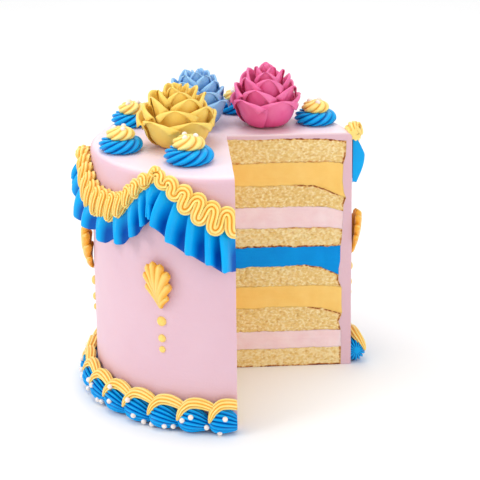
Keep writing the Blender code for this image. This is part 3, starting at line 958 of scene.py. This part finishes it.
pearls = {
    "radius": 2.0,
    "sunk": 0.8,
    "farthest": 108.3,    # keeps them inside the size of the solids
    "seed": 12,
    "perShell": 3,
    "scatter": 0.16,      # in shares of a shell's pitch
    "heights": (2.0, 21.0),
    "endClearance": 0.03,
    "thrownFrom": 130,
    "clear": 3,           # they lie at least this far out from the wall
}


# A rope that follows a curve given as shares of a pitch round the foot
def borderRope(curve, joint, section, tall):
    pitch = math.radians(border["pitch"])
    points = []
    for k in range(border["steps"] + 1):
        share, height, out, radius = smoothRow(curve, k / border["steps"])
        angle = joint + pitch * share
        centre = onWall(angle, max(height, 0), out)
        points.append((centre, outwards(angle), radius))
    return sweptRope(ropeStations(points, tall), section)


# Presses what would go below the foot or into the wall back to it
def pressFlat(shape):
    for vert in shape.verts:
        vert.co.z = max(vert.co.z, 0.0)
        flat = Vector((vert.co.x, vert.co.y))
        inside = wallRadius(vert.co.z) - 1.0
        if 0 < flat.length < inside:
            flat *= inside / flat.length
            vert.co.x, vert.co.y = flat


def borderBody(curve, section, tall=1.0):
    whole = bmesh.new()
    pitch = math.radians(border["pitch"])
    for shell in range(-1, border["count"]):
        joint = math.radians(border["firstJoint"]) - pitch * shell
        rope = borderRope(curve, joint, section, tall)
        pressFlat(rope)
        if shell < 2:
            sliceAtFront(rope, border["nudge"] * (1 - shell))
        if shell > border["count"] - 3:
            sliceAtRight(rope, border["nudge"] * (border["count"] - 1 - shell))
        joinInto(whole, rope)
    return whole


def addPearl(whole, spot):
    ball = bmesh.new()
    bmesh.ops.create_uvsphere(ball, u_segments=16, v_segments=10, radius=pearls["radius"])
    bmesh.ops.translate(ball, verts=ball.verts, vec=spot)
    joinInto(whole, ball)


# Pearls thrown at the border: each lies where a line from outside first meets the piping
def pearlBody(piping):
    tree = BVHTree.FromBMesh(piping)
    draw = random.Random(pearls["seed"])
    pitch = math.radians(border["pitch"])
    low, high = pearls["heights"]
    whole = bmesh.new()
    for k in range(border["count"] * pearls["perShell"]):
        phase = (k + 0.5) / pearls["perShell"] + draw.uniform(-1, 1) * pearls["scatter"]
        angle = math.radians(border["firstJoint"]) + pitch * (1 - phase)
        right = math.radians(cake["rightEnd"]) + pearls["endClearance"]
        front = math.radians(cake["frontEnd"]) - pearls["endClearance"]
        if not right < angle < front:
            continue
        away = outwards(angle)
        height = low + (high - low) * draw.random() ** 1.2
        spot = tree.ray_cast(away * pearls["thrownFrom"] + Vector((0, 0, height)), -away)[0]
        if spot and spot.xy.length > cake["footRadius"] + pearls["clear"]:
            reach = min(spot.xy.length - pearls["sunk"], pearls["farthest"]) + pearls["radius"]
            addPearl(whole, away * reach + Vector((0, 0, max(spot.z, pearls["radius"]))))
    return whole


shells = borderBody(border["shell"], starSection(*border["shellStar"]), border["shellTall"])
arches = borderBody(border["arch"], starSection(*border["archStar"]))
together = shells.copy()
joinInto(together, arches.copy())
addPiece("border_pearls", pearlBody(together), finishes["pearl"], ["base_shells"])
together.free()
addPiping("border_shells", shells, "blue", "base_shells", sharp=60)
addPiping("border_arches", arches, "yellow", "base_scallops", sharp=60)
print("border ready")


# Rosettes


rosettes = {
    "places": [(-26.5, -55.5, 1.0), (-74, -23, 0.9), (-66, 46, 0.9),
               (-24, 76, 0.9), (15, 76, 0.9), (72, 37, 0.9)],
    "base": [(0, 0), (10, 0), (15, 0.6), (17.6, 3.0), (17.4, 6.4), (14.8, 9.3), (9, 10.4), (0, 10.4)],
    "top": [(0, 0), (7, 0), (10.4, 0.6), (11.8, 2.8), (10.6, 5.6), (7.2, 7.8), (3.4, 9.0), (0, 9.4)],
    "baseRidges": 10,
    "topRidges": 7,
    "groove": 0.2,
    "baseTwist": 2.7,
    "topTwist": 2.8,
    "topSeat": 10.0,      # how high the upper swirl starts
    "rows": 36,
    "pearls": 3,
    "pearlRing": 5.0,
    "pearlRise": 8.4,
}


# A piped swirl: ridges that turn as they climb
def swirlBody(kind, x, y, scale, bottom, turn):
    profile, ridges, twist = rosettes[kind], rosettes[kind + "Ridges"], rosettes[kind + "Twist"]
    columns = ridges * 6

    def place(column, row):
        share = row / rosettes["rows"]
        radius, rise = smoothRow(profile, share)
        angle = math.tau * column / columns
        ridge = abs(math.cos(ridges * angle / 2)) ** 0.8
        size = max(radius, 0) * (1 - rosettes["groove"] * (1 - ridge)) * scale
        angle += turn + twist * share
        lift = 0.6 * (ridge - 0.5) * math.sin(math.pi * share) if rise > 1 else 0
        return Vector((x + size * math.cos(angle), y + size * math.sin(angle),
                       bottom + (max(rise, 0) + lift) * scale))

    # painted shade in the grooves between the ridges
    def depth(column, row):
        return (1 - abs(math.cos(ridges * math.pi * column / columns))) ** 1.6

    return closeUp(bentGrid(columns, rosettes["rows"], place, depth=depth))


for index, (x, y, scale) in enumerate(rosettes["places"]):
    number = index + 1
    seat = cake["height"] + 0.1
    lower = swirlBody("base", x, y, scale, seat, index)
    addPiping("rosette_%d_base" % number, lower, "blue", "rosette_base_%d" % number)
    seat += rosettes["topSeat"] * scale
    upper = swirlBody("top", x, y, scale, seat, index + 0.5)
    addPiping("rosette_%d_top" % number, upper, "yellow", "rosette_top_%d" % number)
    balls = bmesh.new()
    for k in range(rosettes["pearls"]):
        angle = index + math.tau * k / rosettes["pearls"]
        ring = rosettes["pearlRing"] * scale
        addPearl(balls, (x + ring * math.cos(angle), y + ring * math.sin(angle),
                         seat + rosettes["pearlRise"] * scale))
    addPiece("rosette_%d_pearls" % number, balls, finishes["pearl"], ["rosette_top_%d" % number])
print("rosettes ready")


# Sugar roses


roses = {
    "all": [("yellow", -33, -13, 29.5, 44.6, 10), ("blue", -18, 40, 25, 41.8, 40),
            ("pink", 34, 34.5, 27, 45.4, 75)],
    # rings of petals from the outermost in: how many, half a petal's width in degrees, radius at
    # its foot, belly and rim, height of its foot and rim, and how far the rim rolls out
    "rings": [(5, 46, 0.36, 0.75, 0.91, 0.00, 0.50, 0.06), (5, 45, 0.31, 0.64, 0.78, 0.03, 0.68, 0.06),
              (5, 45, 0.26, 0.53, 0.64, 0.07, 0.83, 0.05), (4, 52, 0.20, 0.40, 0.46, 0.12, 0.92, 0.04),
              (3, 64, 0.14, 0.27, 0.27, 0.20, 0.97, 0.02), (2, 105, 0.08, 0.14, 0.10, 0.30, 1.0, 0.0)],
    "across": 18,
    "up": 14,
    "round": 0.30,        # how far a petal's rim falls at its sides
    "narrow": 0.35,       # and how much narrower it is there
    "slant": 0.055,       # one side of a petal lies under its neighbour, most on the low rings
    "tip": 0.04,
    "wave": 0.018,
    "stagger": 31,        # degrees from ring to ring
    "thick": 0.7,
}


# One cupped petal with a rounded rim that rolls out, as an open sheet
def petalSheet(radius, height, ring, middle, number):
    half, foot, belly, rim, low, high, roll = ring[1:]
    tall = high - low
    profile = [(foot, low), (foot + (belly - foot) * 0.6, low + 0.10 * tall),
               (belly, low + 0.36 * tall), (belly * 0.6 + rim * 0.4, low + 0.62 * tall),
               (rim, low + 0.90 * tall), (rim + 0.5 * roll, high - 0.1 * roll),
               (rim + roll, high - 0.5 * roll)]
    lively = noise.noise(Vector((number * 1.7, 0.3, radius)))

    def place(column, step):
        across = 2 * column / roses["across"] - 1
        up = step / roses["up"]
        reach, rise = smoothRow(profile, up)
        width = math.radians(half) * math.sin(math.pi / 2 * min(0.45 + up * 0.8, 1))
        width *= 1 - roses["narrow"] * max(up - 0.55, 0) ** 2 / 0.2
        waves = roses["wave"] * math.sin(5.5 * across + number * 2.1) * up ** 3
        reach += roses["slant"] * (1.5 - high) * across - 0.03 * across ** 2
        reach += 0.01 * lively + waves * (roll > 0)
        rise -= roses["round"] * abs(across) ** 2.4 * up ** 2 * tall
        rise += roses["tip"] * (1 - abs(across)) ** 2 * up ** 6 * (roll > 0) + 0.02 * lively * up
        angle = middle + width * across
        return outwards(angle) * radius * min(reach, 0.985) + Vector((0, 0, clamp(rise) * height))

    # darker towards each petal's foot: partly the sugar's own deeper tint, partly painted shade where
    # the petals overlap
    return bentGrid(roses["across"], roses["up"], place, wrapped=False,
                    depth=lambda column, row: (1 - row / roses["up"]) ** 2)


def roseBody(radius, height, turn):
    whole = bmesh.new()
    number = 0
    for k, ring in enumerate(roses["rings"]):
        for i in range(ring[0]):
            number += 1
            middle = turn + 360 * i / ring[0] + roses["stagger"] * k + 9 * math.sin(number * 2.3)
            joinInto(whole, petalSheet(radius, height, ring, math.radians(middle), number))
    heart = bmesh.new()
    bmesh.ops.create_cone(heart, cap_ends=True, segments=20, radius1=radius * 0.36,
                          radius2=radius * 0.05, depth=height * 0.80)
    bmesh.ops.translate(heart, verts=heart.verts, vec=(0, 0, height * 0.40))
    joinInto(whole, heart)
    return whole


for colour, x, y, radius, height, turn in roses["all"]:
    body = roseBody(radius, height, turn)
    bmesh.ops.translate(body, verts=body.verts, vec=(x, y, cake["height"] + 0.3))
    piece = addPiece("sugar_rose_%s_petals" % colour, body, finishes[colour + "Sugar"],
                     ["sugar_rose_" + colour])
    thicken(piece, roses["thick"], -1)
print("roses ready")


# Stage


stage = {
    "floorColour": screen(250, 250, 250),
    "floorSize": 6.0,
    "sky": 0.8,           # strength of the white light from all round
    # place, size and power of each soft light
    "lights": [((-1.45, -0.5, 1.1), 0.8, 9.0), ((1.2, -1.3, 0.7), 1.0, 4.5),
               ((-0.2, 0.1, 1.7), 0.9, 7.5), ((0.2, 1.5, 1.3), 1.2, 3.0)],
    "aim": Vector((0, 0, 0.1)),
    "camera": Vector((-0.0533088, -1.09381564, 0.504075)),
    "target": Vector((0.01221691, 0.00503928, 0.10591725)),
    "roll": -0.569,
    "lens": 116.764,
}


def makeStage():
    scene = bpy.context.scene
    shape = bmesh.new()
    bmesh.ops.create_grid(shape, x_segments=1, y_segments=1, size=stage["floorSize"] / 2)
    bmesh.ops.translate(shape, verts=shape.verts, vec=(0, 0, -0.0002))
    material, tree, shader = newMaterial("floor")
    setInputs(shader, {"Base Color": stage["floorColour"], "Roughness": 0.8})
    floor = addObject("floor", meshOf("floor", shape))
    floor.data.materials.append(material)
    world = bpy.data.worlds.new("studio")
    world.use_nodes = True
    backdrop = world.node_tree.nodes["Background"]
    setInputs(backdrop, {"Color": (1, 1, 1, 1), "Strength": stage["sky"]})
    scene.world = world
    for number, (place, size, power) in enumerate(stage["lights"]):
        light = bpy.data.lights.new("softLight%d" % number, "AREA")
        light.shape = "DISK"
        light.size = size
        light.energy = power
        lamp = addObject(light.name, light)
        lamp.location = place
        lamp.rotation_euler = (stage["aim"] - Vector(place)).to_track_quat("-Z", "Y").to_euler()
    camera = addObject("camera", bpy.data.cameras.new("camera"))
    camera.data.lens = stage["lens"]
    camera.data.sensor_width = 36
    camera.location = stage["camera"]
    aim = (stage["target"] - stage["camera"]).to_track_quat("-Z", "Y")
    roll = Quaternion((0, 0, 1), math.radians(stage["roll"]))
    camera.rotation_euler = (aim @ roll).to_euler()
    scene.camera = camera
    scene.view_settings.view_transform = "Standard"


makeStage()
print("stage ready")
